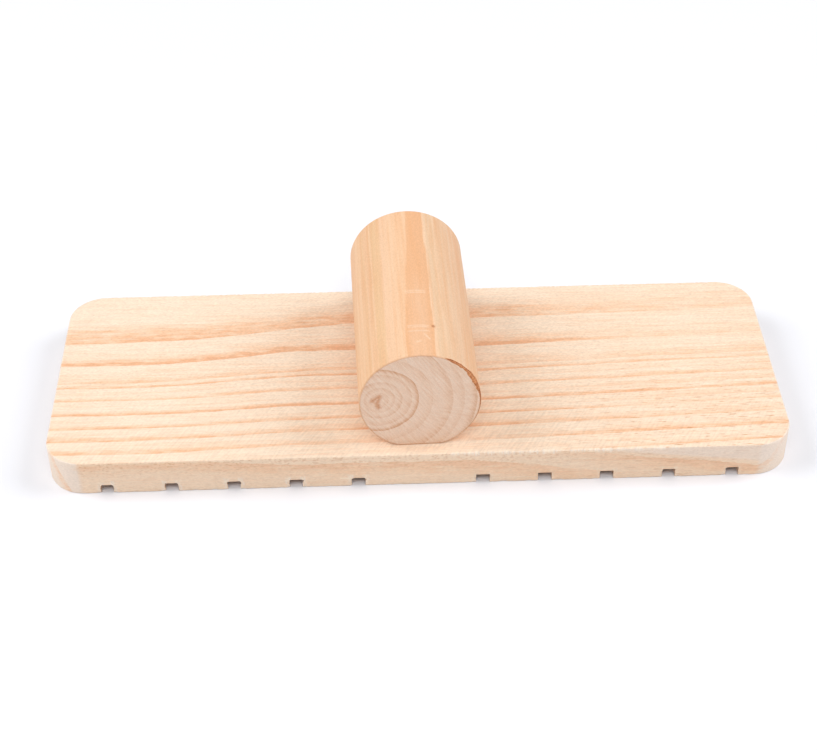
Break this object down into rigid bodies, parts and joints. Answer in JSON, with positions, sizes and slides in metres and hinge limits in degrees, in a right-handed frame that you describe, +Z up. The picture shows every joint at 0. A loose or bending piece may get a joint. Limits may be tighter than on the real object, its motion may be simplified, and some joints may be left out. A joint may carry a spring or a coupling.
{
  "type": "wooden hand float",
  "caption": "Small wooden hand float: flat board with rounded corners and cross grooves in its sole, and a round dowel handle screwed across the middle from below.",
  "frame": {"origin": "middle of the sole, in the plane that rests on the work", "axes": "+X along the board, +Y away from the user, +Z up through the handle"},
  "size_m": [0.24, 0.086, 0.05],
  "materials": {
    "pine_board": "planed, unfinished softwood",
    "handle_wood": "turned and sanded, unfinished softwood",
    "zinc_steel": "zinc plated"
  },
  "bodies": {
    "root": {"board": "pine_board", "handle": "handle_wood", "screw_front": "zinc_steel", "screw_rear": "zinc_steel"}
  },
  "joints": []
}
